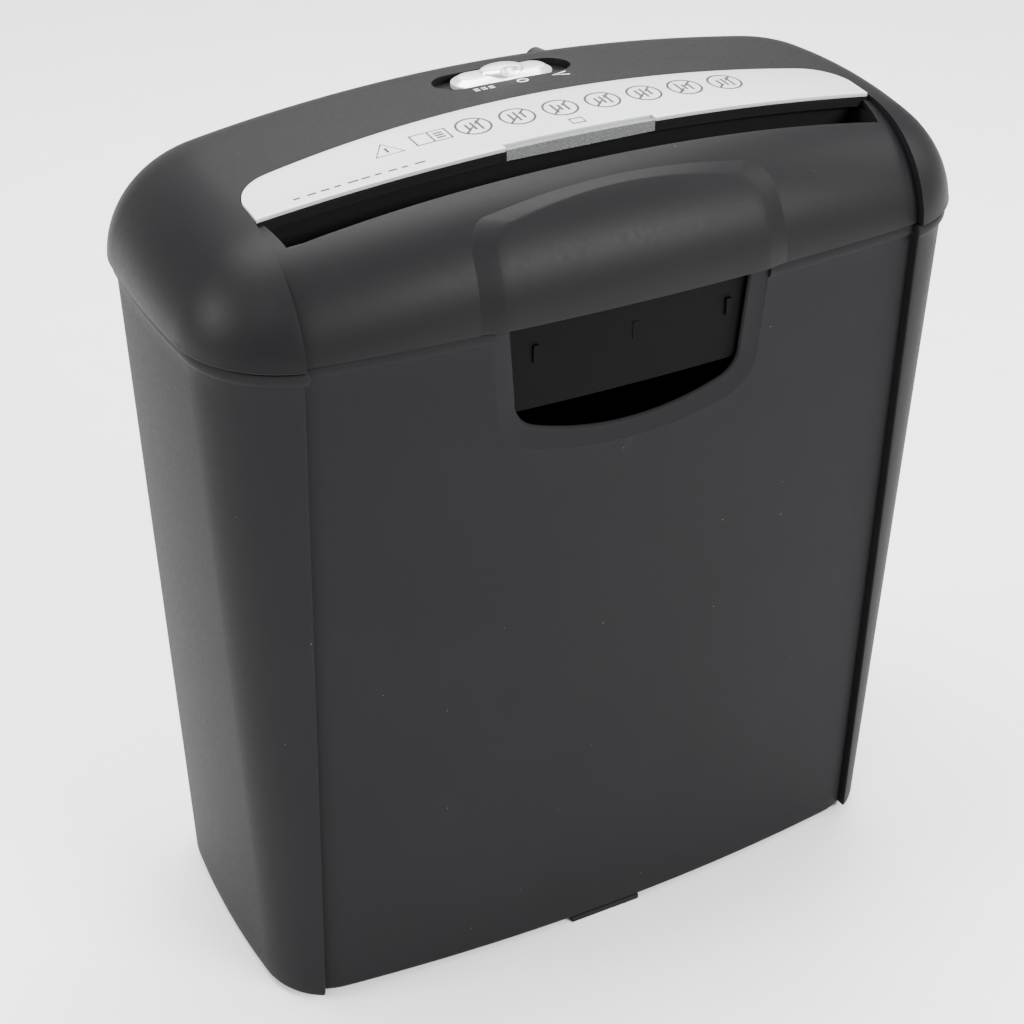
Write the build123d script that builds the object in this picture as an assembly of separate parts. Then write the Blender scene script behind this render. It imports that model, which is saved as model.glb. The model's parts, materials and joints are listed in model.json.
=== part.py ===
"""Strip-cut paper shredder: a cutting head that lifts off a tapered waste bin.

Millimetres. X runs along the paper slot, the front is towards -Y and +Z is up. The origin is the middle of
the face that the bin stands on.
"""
from build123d import *
import os
from math import acos, atan2, cos, hypot, pi, radians, sin, sqrt, tan

os.makedirs("parts", exist_ok=True)

# Whole object
FRONT_SAG = 9.5                # how far the long sides of the plan bow out
SIDE_SAG = 4.5                 # and the short sides
CORNER_R = 38.0                # corner radius of the plan at the head's outside
WALL = 2.5                     # moulded wall
HEAD_HALF_W = 144.0
HEAD_HALF_D = 72.0
HEAD_LOW_Z = 270.0             # lower edge of the head cover
HEAD_TOP_Z = 313.0             # highest point, in the middle of the crown
ARCH_R = 890.0                 # crown radius along X
CROWN_R = 420.0                # crown radius along Y
CROWN_Y = 5.0
SHOULDER_R = 31.0              # rounding between crown and sides

# Bin
BIN_TOP_Z = 269.6
BIN_TOP_HALF = (141.5, 70.5)
BIN_LOW_HALF = (133.0, 67.5)
FOOT_H = 2.0
PANEL_STEP = 3.8               # the front panel of the bin lies this far back
HEAD_STEP = 3.0                # and the front of the head this far
HEAD_DROP = 1.5
STEP_HALF_TOP = 113.6          # half-width between the two step lines
STEP_HALF_LOW = 116.5
RIM_PROUD = 1.2
RIM_H = 4.5

# Hand cut-out in the bin's front
CUT_HALF_TOP = 45.6
CUT_HALF_LOW = 42.0
CUT_SIDE_LOW_Z = 233.0
CUT_LOW_Z = 224.4
CUT_CORNER_R = 11.0
BEZEL = 6.5
BEZEL_DEEP = 1.0

# Paper slot and silver panel
SLOT_BACK_Y = -28.4
SLOT_FRONT_Y = -41.5
SLOT_HALF_BACK = 111.0
SLOT_HALF_FRONT = 108.5
PANEL_HALF = 113.0
PANEL_BACK_Y = 4.6
PANEL_PROUD = 0.4
PANEL_DEEP = 0.9
NOTCH_HALF = 27.6
NOTCH_DEEP = 2.5

# Slide switch
SWITCH_X = 0.5
SWITCH_Y = 29.0
RECESS_L = 52.0
RECESS_W = 16.0
RECESS_Z = 309.0               # floor of the switch recess
RECESS_FLOOR_T = 2.2
KNOB_L = 38.0
KNOB_W = 13.0
KNOB_PROUD = 2.8
KNOB_LOW_Z = 309.5
KNOB_TRAVEL = 6.0              # to either side
STEM_HALF = 4.0                # the knob's stem through the cover
STEM_SLOT_HALF = STEM_HALF + KNOB_TRAVEL + 1.0

# Cutting unit
SHAFT_Z = 267.0
SHAFT_GAP = 25.0
NIP_Y = -24.0
FRONT_Y = NIP_Y - SHAFT_GAP / 2
REAR_Y = NIP_Y + SHAFT_GAP / 2
DISC_R = 14.0
CORE_R = 10.2
DISC_COUNT = 33
DISC_PITCH = 6.5
DISC_W = 6.3
HEX_FLATS = 9.0
JOURNAL_R = 4.0
RUN_FIT = 0.05                 # radial clearance of a running fit
PLATE_IN = 111.5
PLATE_T = 2.0
PLATE_OUT = PLATE_IN + PLATE_T
PLATE_LOW_Z = 238.0
SHOULDER_X = 110.5             # where the hexagon of a cutter shaft ends
ROD_R = 3.0
ROD_PLACES = ((-47.5, 282.0), (-47.0, 248.0), (8.0, 248.0), (6.5, 284.5))

# Gears: teeth and modules
PRESSURE = radians(20.0)
SYNC_GEAR = (20, 1.25)
OUTPUT_GEAR = (26, 1.25)
SECOND_SMALL = (12, 1.25)
SECOND_LARGE = (40, 0.85)
FIRST_SMALL = (12, 0.85)
FIRST_LARGE = (48, 0.70)
PINION = (12, 0.70)
TOOTH_THINNING = 0.10
LAYER_A = (114.6, 119.5)       # where along X each stage of the train lies
LAYER_B = (120.4, 124.0)
LAYER_C = (125.0, 128.0)
MOTOR_Y = 41.5
MOTOR_Z = 272.0
SECOND_RISE = radians(15.0)    # direction from the rear cutter to the second gear
SECOND_AXLE_R = 3.0
FIRST_AXLE_R = 2.5
MOTOR_SHAFT_R = 2.0

# Motor
MOTOR_R = 16.0
MOTOR_FACE_X = 111.4
MOTOR_TAIL_X = 51.0
MOTOR_CAP_X = 45.0

# Head base, the lower half of the head that hangs in the bin
BASE_HALF = (137.4, 66.6)
BASE_WALL = 2.0
BASE_LOW_Z = 236.0
BASE_FLOOR_Z = 238.0
EXIT_HALF = 108.0
EXIT_Y = (-50.0, -1.0)
SCREW_PLACES = ((127.0, -38.0), (-127.0, -38.0), (118.0, 48.0), (-118.0, 48.0))

# Paper sensor and interlock
LEVER_Y = -14.5
LEVER_Z = 293.0
PIN_R = 1.5
PLUNGER_X = -127.0
PLUNGER_Y = 20.0
PLUNGER_R = 2.5
PLUNGER_LOW_Z = 232.5
PLUNGER_FLANGE_Z = 238.1
INTERLOCK_LOW_Z = 253.0
ACTUATOR_TOP_Z = 232.0

# Control board
BOARD_X = (-100.0, -25.0)
BOARD_Y = (12.0, 56.0)
BOARD_Z = 262.0
BOARD_T = 1.6
FIRST_TERMINAL_X = -52.5
TERMINAL_PITCH = 6.5

# Cable gland
GLAND_X = 48.0
GLAND_Z = 288.5
GLAND_BORE_R = 2.9


# ---------------------------------------------------------------- shared shapes

def block(x, y, z):
    """A box from three (low, high) pairs."""
    size = (x[1] - x[0], y[1] - y[0], z[1] - z[0])
    middle = ((x[0] + x[1]) / 2, (y[0] + y[1]) / 2, (z[0] + z[1]) / 2)
    return Pos(*middle) * Box(*size)


def round_x(y, z, radius, x):
    """A cylinder along X between the two ends in x."""
    return Pos((x[0] + x[1]) / 2, y, z) * Rot(0, 90, 0) * Cylinder(radius, x[1] - x[0])


def round_y(x, z, radius, y):
    return Pos(x, (y[0] + y[1]) / 2, z) * Rot(90, 0, 0) * Cylinder(radius, y[1] - y[0])


def round_z(x, y, radius, z):
    return Pos(x, y, (z[0] + z[1]) / 2) * Cylinder(radius, z[1] - z[0])


def sheet_x(points, x):
    """A plate with the (y, z) outline in points, between the two ends in x."""
    face = make_face(Polyline(*[(x[0], y, z) for y, z in points], close=True))
    return extrude(face, amount=x[1] - x[0], dir=(1, 0, 0))


def sheet_y(points, y):
    """A plate with the (x, z) outline in points, between the two ends in y."""
    face = make_face(Polyline(*[(x, y[0], z) for x, z in points], close=True))
    return extrude(face, amount=y[1] - y[0], dir=(0, 1, 0))


def oblong(half_w, half_d, z):
    """The rounded oblong of the plan as a face at height z: four shallow arcs joined by round corners."""
    corner_x, corner_y = half_w - SIDE_SAG, half_d - FRONT_SAG
    outline = (
        ThreePointArc((-corner_x, -corner_y, z), (0, -half_d, z), (corner_x, -corner_y, z))
        + ThreePointArc((corner_x, -corner_y, z), (half_w, 0, z), (corner_x, corner_y, z))
        + ThreePointArc((corner_x, corner_y, z), (0, half_d, z), (-corner_x, corner_y, z))
        + ThreePointArc((-corner_x, corner_y, z), (-half_w, 0, z), (-corner_x, -corner_y, z))
    )
    face = make_face(outline)
    return fillet(face.vertices(), CORNER_R - (HEAD_HALF_W - half_w)).face()


def crown(drop):
    """Everything under the arched top surface, lowered by drop. It is one arc swept round another."""
    top = HEAD_TOP_Z - drop
    reach = 95.0
    side = top - CROWN_R + sqrt(CROWN_R ** 2 - reach ** 2)
    back, front, low = CROWN_Y - reach, CROWN_Y + reach, 200.0
    arc = ThreePointArc((0, back, side), (0, CROWN_Y, top), (0, front, side))
    rest = Polyline((0, front, side), (0, front, low), (0, back, low), (0, back, side))
    axis = Axis((0, 0, HEAD_TOP_Z - ARCH_R), (0, 1, 0))
    spread = 22.0
    return revolve(make_face(arc + rest).rotate(axis, -spread / 2), axis, spread)


def dome(inset, low):
    """The head's outer form drawn in by inset, down to height low."""
    body = extrude(oblong(HEAD_HALF_W - inset, HEAD_HALF_D - inset, low), amount=330.0 - low) & crown(inset)
    return fillet([e for e in body.edges() if e.center().Z > low + 10.0], SHOULDER_R - inset)


def front_prism(half_low, half_top, y_back, low, high):
    """The space in front of y_back between the two step lines."""
    outline = [(-half_low, low), (half_low, low), (half_top, high), (-half_top, high)]
    return sheet_y(outline, (-100.0, y_back))


def gear(center, size, phase, x):
    """An involute spur gear with stub teeth about an X axis. A tooth points at angle phase from +Y to +Z."""
    teeth, module = size
    pitch_r = teeth * module / 2
    base_r = pitch_r * cos(PRESSURE)
    root_r = pitch_r - 1.15 * module
    tip_r = pitch_r + 0.8 * module

    def half_angle(radius):
        turn = acos(min(1.0, base_r / radius)) if radius > base_r else 0.0
        at_pitch = pi / (2 * teeth) - TOOTH_THINNING / (2 * pitch_r) + tan(PRESSURE) - PRESSURE
        return at_pitch - (tan(turn) - turn)

    flank = [root_r, max(root_r + 0.01, base_r), pitch_r, tip_r]
    points = []
    for k in range(teeth):
        middle = phase + 2 * pi * k / teeth
        for radius, side in [(r, -1) for r in flank] + [(r, 1) for r in reversed(flank)]:
            turn = middle + side * half_angle(radius)
            points.append((center[0] + radius * cos(turn), center[1] + radius * sin(turn)))
    return sheet_x(points, x)


def heading(a, b):
    return atan2(b[1] - a[1], b[0] - a[0])


def mesh_gap(a, b):
    """Distance between the centres of two meshing gears."""
    return (a[0] * a[1] + b[0] * b[1]) / 2


def gear_centres():
    """(y, z) of the rear cutter, the second gear, the first gear and the motor."""
    rear = (REAR_Y, SHAFT_Z)
    reach = mesh_gap(OUTPUT_GEAR, SECOND_SMALL)
    second = (rear[0] + reach * cos(SECOND_RISE), rear[1] + reach * sin(SECOND_RISE))
    motor = (MOTOR_Y, MOTOR_Z)
    a = mesh_gap(SECOND_LARGE, FIRST_SMALL)
    b = mesh_gap(FIRST_LARGE, PINION)
    gap = hypot(motor[0] - second[0], motor[1] - second[1])
    along = (a * a - b * b + gap * gap) / (2 * gap)
    across = sqrt(a * a - along * along)
    turn = heading(second, motor)
    first = (second[0] + along * cos(turn) + across * sin(turn),
             second[1] + along * sin(turn) - across * cos(turn))
    return rear, second, first, motor


REAR, SECOND, FIRST, MOTOR = gear_centres()
FRONT = (FRONT_Y, SHAFT_Z)


# ---------------------------------------------------------------- bin

def bucket(inset, low, high, step):
    """The tapered bucket drawn in by inset, with its front set back by step between the step lines."""
    def ring(z):
        share = z / BIN_TOP_Z
        half = [a + (b - a) * share - inset for a, b in zip(BIN_LOW_HALF, BIN_TOP_HALF)]
        return oblong(half[0], half[1], z)

    body = loft([ring(low), ring(high)])
    line = [STEP_HALF_LOW + (STEP_HALF_TOP - STEP_HALF_LOW) * z / BIN_TOP_Z + inset for z in (low, high)]
    ahead = front_prism(line[0], line[1], -25.0, low, high)
    return body - (ahead - Pos(0, step, 0) * body)


def cut_outline(grow):
    """The hand cut-out's outline, open at the top, grown by grow."""
    high = 280.0
    left, right = -CUT_HALF_LOW - grow, CUT_HALF_LOW + grow
    low_z = CUT_SIDE_LOW_Z - grow
    sides = Polyline((right, 0, low_z), (CUT_HALF_TOP + grow, 0, high), (-CUT_HALF_TOP - grow, 0, high),
                     (left, 0, low_z))
    sole = ThreePointArc((left, 0, low_z), (0, 0, CUT_LOW_Z - grow), (right, 0, low_z))
    face = make_face(sides + sole)
    corners = [v for v in face.vertices() if v.Z < CUT_SIDE_LOW_Z + 1.0]
    return fillet(corners, CUT_CORNER_R + grow)


def bin_shell():
    shell = bucket(0.0, FOOT_H, BIN_TOP_Z, PANEL_STEP)
    shell += bucket(-RIM_PROUD, BIN_TOP_Z - RIM_H, BIN_TOP_Z, PANEL_STEP)
    shell -= bucket(WALL, FOOT_H + 3.0, BIN_TOP_Z + 1.0, PANEL_STEP)
    face_y = -BIN_TOP_HALF[1] + PANEL_STEP
    bezel = Pos(0, -80, 0) * extrude(cut_outline(BEZEL), amount=40, dir=(0, 1, 0))
    shell -= bezel - bucket(0.0, FOOT_H, BIN_TOP_Z + 1.0, PANEL_STEP + BEZEL_DEEP)
    shell -= Pos(0, -80, 0) * extrude(cut_outline(0.0), amount=80 + face_y + 15, dir=(0, 1, 0))
    rail_y = BIN_LOW_HALF[1] - PANEL_STEP
    shell += block((-15, 15), (-rail_y, rail_y), (0, FOOT_H + 0.5))
    tab = [(-141.0, 190.0), (-136.0, 190.0), (-123.0, 220.0), (-123.0, ACTUATOR_TOP_Z),
           (-141.0, ACTUATOR_TOP_Z)]
    rib = sheet_y(tab, (PLUNGER_Y - 2.0, PLUNGER_Y + 2.0)) & bucket(1.0, 100.0, BIN_TOP_Z, 0.0)
    return shell + rib


def bin_feet():
    return [round_z(x, y, 9.0, (0, FOOT_H)) for x in (-104, 104) for y in (-38, 38)]


# ---------------------------------------------------------------- head cover and trim

def head_form(inset, low):
    """The head's form with its front section set back between the step lines."""
    whole = dome(inset, low)
    ahead = front_prism(STEP_HALF_TOP + inset, STEP_HALF_TOP + inset, SLOT_BACK_Y + inset, low - 1.0, 330.0)
    return whole - (ahead - Pos(0, HEAD_STEP, -HEAD_DROP) * dome(inset, low - 1.0))


def panel_outline(grow, notch):
    """The silver panel's plan. With notch, the middle of its front edge is set back."""
    front = SLOT_BACK_Y + 0.2 - grow
    end, side = PANEL_HALF + grow, PANEL_HALF - 13.0
    back = PANEL_BACK_Y + grow
    face = make_face(
        Line((-end, front), (end, front))
        + ThreePointArc((end, front + 7.0), (end - 3.6, -9.3 + grow), (side, -4.0 + grow))
        + Line((end, front), (end, front + 7.0))
        + ThreePointArc((side, -4.0 + grow), (0, back), (-side, -4.0 + grow))
        + ThreePointArc((-side, -4.0 + grow), (-end + 3.6, -9.3 + grow), (-end, front + 7.0))
        + Line((-end, front + 7.0), (-end, front))
    )
    if notch:
        face -= Pos(0, front) * Rectangle(2 * NOTCH_HALF, 2 * NOTCH_DEEP)
    return face


def upright(face, low=280.0, high=330.0):
    """A plan outline as a tall prism."""
    return extrude(Pos(0, 0, low) * face, amount=high - low, dir=(0, 0, 1))


def oval(length, width):
    """The plan of the switch and its recess: straight sides with half-elliptical ends."""
    half_end = 0.56 * width
    straight = length - 2 * half_end
    outline = Rectangle(straight, width)
    for turn in (-1, 1):
        outline += Pos(turn * straight / 2, 0) * Ellipse(half_end, width / 2)
    return Pos(SWITCH_X, SWITCH_Y) * outline.face()


def slot_prism():
    outline = [(-SLOT_HALF_BACK, SLOT_BACK_Y), (SLOT_HALF_BACK, SLOT_BACK_Y),
               (SLOT_HALF_FRONT, SLOT_FRONT_Y), (-SLOT_HALF_FRONT, SLOT_FRONT_Y)]
    return upright(make_face(Polyline(*outline, close=True)), low=262.0)


def head_cover():
    cover = head_form(0.0, HEAD_LOW_Z) - head_form(WALL, HEAD_LOW_Z - 1.0)
    pad_outline = [(-56, 269), (56, 269), (55, 293), (46, 302), (0, 305), (-46, 302), (-55, 293)]
    pad_outer = sheet_y(pad_outline, (-90, -45)) & (Pos(0, HEAD_STEP - 1.6, 0) * dome(0.0, HEAD_LOW_Z))
    cover += pad_outer - head_form(1.0, HEAD_LOW_Z - 1.0)
    cover += upright(oval(RECESS_L + 4, RECESS_W + 4), low=RECESS_Z - RECESS_FLOOR_T) & crown(WALL - 0.2)
    for x, y in SCREW_PLACES:
        cover += round_z(x, y, 3.6, (HEAD_LOW_Z, 300.0)) & dome(1.0, HEAD_LOW_Z)
    cover -= upright(panel_outline(0.15, False)) - crown(PANEL_DEEP + 0.05)
    cover -= slot_prism()
    cover -= upright(oval(RECESS_L, RECESS_W), low=RECESS_Z)
    stem_slot = (SWITCH_X - STEM_SLOT_HALF, SWITCH_X + STEM_SLOT_HALF)
    cover -= block(stem_slot, (SWITCH_Y - 3, SWITCH_Y + 3), (290, 320))
    cover -= block((-NOTCH_HALF, NOTCH_HALF), (SLOT_BACK_Y - 1, SLOT_BACK_Y + NOTCH_DEEP), (307, 320))
    cover -= round_y(GLAND_X, GLAND_Z, 7.0, (50, 90))
    for x, y in SCREW_PLACES:
        cover -= round_z(x, y, 1.6, (HEAD_LOW_Z - 1, 286))
    return cover


def control_panel():
    return upright(panel_outline(0.0, True)) & (crown(-PANEL_PROUD) - crown(PANEL_DEEP))


def sensor_cover():
    """The dark textured strip in the panel's notch, over the paper sensor."""
    half = NOTCH_HALF - 0.2
    return block((-half, half), (SLOT_BACK_Y, SLOT_BACK_Y + NOTCH_DEEP - 0.2), (307.2, 320)) & crown(0.4)


def switch_knob():
    body = upright(oval(KNOB_L, KNOB_W), low=KNOB_LOW_Z) & crown(-KNOB_PROUD)
    body += round_z(SWITCH_X, SWITCH_Y, 6.0, (311, 330)) & crown(-KNOB_PROUD - 1.2)
    stem = (SWITCH_X - STEM_HALF, SWITCH_X + STEM_HALF)
    return body + block(stem, (SWITCH_Y - 2.2, SWITCH_Y + 2.2), (301.5, 311))


def switch_body():
    body = block((SWITCH_X - 17, SWITCH_X + 17), (SWITCH_Y - 7, SWITCH_Y + 7), (293, 306.4))
    stem_slot = (SWITCH_X - STEM_SLOT_HALF, SWITCH_X + STEM_SLOT_HALF)
    body -= block(stem_slot, (SWITCH_Y - 3, SWITCH_Y + 3), (300.5, 308))
    for x in (-12, -4, 4, 12):
        body += block((SWITCH_X + x - 1, SWITCH_X + x + 1), (SWITCH_Y - 0.5, SWITCH_Y + 0.5), (288, 294))
    return body


def throat_guide():
    """Two sloping walls that lead the paper to the cutters, with ears for the sensor lever."""
    low_z, low_back, low_front = SHAFT_Z + DISC_R - 0.5, NIP_Y + 2.3, NIP_Y - 2.7
    back = sheet_x([(SLOT_BACK_Y + 1.2, 320), (SLOT_BACK_Y + 2.7, 320), (low_back + 1.5, low_z),
                    (low_back, low_z)], (-PLATE_IN, PLATE_IN))
    front_wall = sheet_x([(SLOT_FRONT_Y - 5.0, 310), (SLOT_FRONT_Y - 6.5, 310), (low_front - 1.5, low_z),
                          (low_front, low_z)], (-PLATE_IN, PLATE_IN))
    guide = (back & crown(WALL + 0.1)) + (front_wall & crown(WALL + HEAD_DROP + 1.0))
    for side in (-1, 1):
        ends = sorted((side * (PLATE_IN - 1.5), side * PLATE_IN))
        cheek = sheet_x([(SLOT_FRONT_Y - 4.0, 305), (low_front - 1.4, low_z), (low_back + 1.4, low_z),
                         (SLOT_BACK_Y + 2.0, 305)], ends)
        guide += cheek & crown(WALL + HEAD_DROP + 1.0)
        ear = sorted((side * 4.0, side * 6.0))
        guide += block(ear, (-25.5, LEVER_Y + 3.5), (LEVER_Z - 3.5, LEVER_Z + 3.5))
    guide -= block((-2.6, 2.6), (-30, -21), (280.5, 299))
    return guide - round_x(LEVER_Y, LEVER_Z, PIN_R, (-8, 8))


def cable_gland():
    """Rubber cable gland and its tapered boot, through the rear wall."""
    body = round_y(GLAND_X, GLAND_Z, 8.5, (58.0, 60.0)) + round_y(GLAND_X, GLAND_Z, 7.0, (60.0, 73.2))
    body += round_y(GLAND_X, GLAND_Z, 8.5, (73.2, 75.2))
    boot = Pos(GLAND_X, 84.2, GLAND_Z) * Rot(-90, 0, 0) * Cone(6.0, 3.9, 18.0)
    return body + boot - round_y(GLAND_X, GLAND_Z, GLAND_BORE_R, (50, 95))


# ---------------------------------------------------------------- head base

def base_form(inset, low, high):
    """The head base's form. Its front is set back with the bin's, and a little wider."""
    body = extrude(oblong(BASE_HALF[0] - inset, BASE_HALF[1] - inset, low), amount=high - low)
    wide = STEP_HALF_LOW + 5.0 + inset
    return body - (front_prism(wide, wide, -25.0, low, high) - Pos(0, PANEL_STEP, 0) * body)


def head_base():
    base = base_form(0.0, BASE_LOW_Z, HEAD_LOW_Z) - base_form(BASE_WALL, BASE_FLOOR_Z, HEAD_LOW_Z + 1)
    front = PANEL_STEP - BASE_HALF[1]
    for x in (-34.4, 2.1, 37.9):
        base += block((x - 1.0, x + 1.0), (front - 0.2, front + 1.6), (253, 259))
    for x, y in SCREW_PLACES:
        base += round_z(x, y, 4.2, (BASE_LOW_Z, HEAD_LOW_Z)) & base_form(0.0, BASE_LOW_Z, HEAD_LOW_Z)
    for x in (BOARD_X[0] + 5, BOARD_X[1] - 5):
        for y in (BOARD_Y[0] + 5, BOARD_Y[1] - 5):
            base += round_z(x, y, 3.0, (BASE_LOW_Z, BOARD_Z))
    for y in (PLUNGER_Y - 13.0, PLUNGER_Y + 13.0):
        base += block((PLUNGER_X - 3, PLUNGER_X + 3), (y - 1.0, y + 1.0), (BASE_LOW_Z, INTERLOCK_LOW_Z))
    base -= block((-EXIT_HALF, EXIT_HALF), EXIT_Y, (BASE_LOW_Z - 1, BASE_FLOOR_Z + 1))
    for x, y in SCREW_PLACES:
        base -= round_z(x, y, 1.8, (BASE_LOW_Z - 1, HEAD_LOW_Z + 1))
        base -= round_z(x, y, 3.5, (BASE_LOW_Z - 1, BASE_LOW_Z + 4))
    for x in (BOARD_X[0] + 5, BOARD_X[1] - 5):
        for y in (BOARD_Y[0] + 5, BOARD_Y[1] - 5):
            base -= round_z(x, y, 1.25, (BOARD_Z - 10, BOARD_Z + 1))
    return base - round_z(PLUNGER_X, PLUNGER_Y, PLUNGER_R + 0.3, (BASE_LOW_Z - 1, BASE_FLOOR_Z + 1))


def casing_screws():
    screws = []
    for x, y in SCREW_PLACES:
        head = round_z(x, y, 3.2, (BASE_LOW_Z + 1.8, BASE_LOW_Z + 4.0))
        head -= block((x - 2.0, x + 2.0), (y - 0.4, y + 0.4), (BASE_LOW_Z, BASE_LOW_Z + 2.8))
        screws.append(head + round_z(x, y, 1.6, (BASE_LOW_Z + 4.0, 284)))
    return screws


# ---------------------------------------------------------------- cutting unit

def frame_plate(side):
    """A steel side plate. side is -1 on the left and 1 on the right, which also carries motor and gears."""
    x = sorted((side * PLATE_IN, side * PLATE_OUT))
    outline = [(-51, PLATE_LOW_Z), (54.5, PLATE_LOW_Z), (54.5, 279), (44, 290), (-42, 290), (-51, 282)]
    if side < 0:
        outline = [(-51, PLATE_LOW_Z), (14, PLATE_LOW_Z), (14, 290), (-42, 290), (-51, 282)]
    plate = sheet_x(outline, x)
    span = (x[0] - 1, x[1] + 1)
    for y in (FRONT_Y, REAR_Y):
        plate -= round_x(y, SHAFT_Z, 6.5, span)
    for y, z in ROD_PLACES:
        plate -= round_x(y, z, ROD_R - 0.5, span)
    if side > 0:
        plate -= round_x(SECOND[0], SECOND[1], SECOND_AXLE_R, span)
        plate -= round_x(FIRST[0], FIRST[1], FIRST_AXLE_R, span)
        plate -= round_x(MOTOR[0], MOTOR[1], 6.2, span)
        for turn in (-1, 1):
            plate -= round_x(MOTOR[0] + turn * 11.0, MOTOR[1], 1.5, span)
    return plate


def tie_rods():
    rods = []
    for y, z in ROD_PLACES:
        rod = round_x(y, z, ROD_R, (-PLATE_IN, PLATE_IN))
        rod += round_x(y, z, ROD_R - 0.5, (-PLATE_OUT, PLATE_OUT))
        for side in (-1, 1):
            ends = sorted((side * PLATE_OUT, side * (PLATE_OUT + 0.8)))
            rod += round_x(y, z, ROD_R, ends)
        rods.append(rod)
    return rods


def shaft_bushes(side):
    bushes = []
    for y in (FRONT_Y, REAR_Y):
        bush = round_x(y, SHAFT_Z, 6.5, sorted((side * PLATE_IN, side * (PLATE_OUT + 0.6))))
        bush += round_x(y, SHAFT_Z, 8.0, sorted((side * (SHOULDER_X + 0.1), side * PLATE_IN)))
        bushes.append(bush - round_x(y, SHAFT_Z, JOURNAL_R + RUN_FIT, sorted((side * 100, side * 120))))
    return bushes


def hexagon(y, x):
    radius = HEX_FLATS / sqrt(3)
    points = [(y + radius * cos(k * pi / 3), SHAFT_Z + radius * sin(k * pi / 3)) for k in range(6)]
    return sheet_x(points, x)


def cutter_shaft(y, left, right):
    return hexagon(y, (-SHOULDER_X, SHOULDER_X)) + round_x(y, SHAFT_Z, JOURNAL_R, (left, right))


def disc_places(parity):
    return [(k - (DISC_COUNT - 1) / 2) * DISC_PITCH for k in range(DISC_COUNT) if k % 2 == parity]


def cutter_discs(y, parity):
    discs = []
    for x in disc_places(parity):
        ends = (x - DISC_W / 2, x + DISC_W / 2)
        disc = round_x(y, SHAFT_Z, DISC_R, ends)
        for k in range(3):
            turn = 2 * pi * k / 3 + x / DISC_PITCH * 0.35
            bite = (y + (DISC_R + 0.6) * cos(turn), SHAFT_Z + (DISC_R + 0.6) * sin(turn))
            disc -= round_x(bite[0], bite[1], 2.0, ends)
        discs.append(disc - hexagon(y, ends))
    return discs


def cutter_spacers(y, parity):
    edges = [-SHOULDER_X + 0.3]
    for x in disc_places(parity):
        edges += [x - DISC_W / 2, x + DISC_W / 2]
    edges.append(SHOULDER_X - 0.3)
    rings = []
    for low, high in zip(edges[::2], edges[1::2]):
        rings.append(round_x(y, SHAFT_Z, CORE_R, (low, high)) - hexagon(y, (low, high)))
    return rings


def stripper_comb(y, facing, parity):
    """A comb whose fingers lie between the discs of the shaft at y, on its outer side."""
    near, far = CORE_R + 0.5, DISC_R + 3.2
    thick = 2.8
    bar = sorted((y + facing * (far - thick), y + facing * far))
    comb = block((-PLATE_IN, PLATE_IN), bar, (259, 273))
    finger = sorted((y + facing * near, y + facing * (far - thick)))
    for x in disc_places(1 - parity):
        half = (2 * DISC_PITCH - DISC_W) / 2 - 0.35
        comb += block((x - half, x + half), finger, (261, 271))
    return comb


def ring_x(center, outer, inner, x):
    hole = round_x(center[0], center[1], inner, (x[0] - 1, x[1] + 1))
    return round_x(center[0], center[1], outer, x) - hole


def sync_gear(center, phase):
    body = gear(center, SYNC_GEAR, phase, (-120.0, -115.0))
    return body - round_x(center[0], center[1], JOURNAL_R, (-121, -114))


def output_gear():
    body = gear(REAR, OUTPUT_GEAR, heading(REAR, SECOND) + pi / OUTPUT_GEAR[0], LAYER_A)
    return body - round_x(REAR[0], REAR[1], JOURNAL_R, (110, 125))


def second_gear():
    small = gear(SECOND, SECOND_SMALL, heading(SECOND, REAR), (LAYER_A[0], LAYER_B[0]))
    large = gear(SECOND, SECOND_LARGE, heading(SECOND, FIRST), LAYER_B)
    return small + large - round_x(SECOND[0], SECOND[1], SECOND_AXLE_R + RUN_FIT, (110, 130))


def first_gear():
    small = gear(FIRST, FIRST_SMALL, heading(FIRST, SECOND) + pi / FIRST_SMALL[0], (120.2, LAYER_C[0]))
    large = gear(FIRST, FIRST_LARGE, heading(FIRST, MOTOR), LAYER_C)
    return small + large - round_x(FIRST[0], FIRST[1], FIRST_AXLE_R + RUN_FIT, (110, 130))


def gear_axles():
    second = round_x(SECOND[0], SECOND[1], SECOND_AXLE_R, (PLATE_IN, 124.9))
    first = round_x(FIRST[0], FIRST[1], FIRST_AXLE_R, (PLATE_IN, 129.2))
    first += round_x(FIRST[0], FIRST[1], 4.0, (PLATE_OUT, 120.0))
    return [second, first]


def axle_clips():
    return [ring_x(SECOND, 4.2, SECOND_AXLE_R, (124.2, 124.8)),
            ring_x(FIRST, 3.8, FIRST_AXLE_R, (128.3, 128.9))]


# ---------------------------------------------------------------- motor

def motor_can():
    can = round_x(MOTOR[0], MOTOR[1], MOTOR_R, (MOTOR_TAIL_X, MOTOR_FACE_X))
    can -= round_x(MOTOR[0], MOTOR[1], MOTOR_R - 1.4, (MOTOR_TAIL_X - 1, MOTOR_FACE_X - 1.6))
    can += round_x(MOTOR[0], MOTOR[1], 6.0, (MOTOR_FACE_X - 4.0, PLATE_OUT + 0.5))
    for turn in (-1, 1):
        can -= round_x(MOTOR[0] + turn * 11.0, MOTOR[1], 1.25, (MOTOR_FACE_X - 4, MOTOR_FACE_X + 1))
    return can - round_x(MOTOR[0], MOTOR[1], MOTOR_SHAFT_R + RUN_FIT, (MOTOR_FACE_X - 10, PLATE_OUT + 1))


def motor_magnets():
    shell = ring_x(MOTOR, MOTOR_R - 1.5, 10.6, (60, 96))
    gap = block((55, 100), (MOTOR[0] - 3, MOTOR[0] + 3), (MOTOR[1] - 20, MOTOR[1] + 20))
    return (shell - gap).solids()


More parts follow.
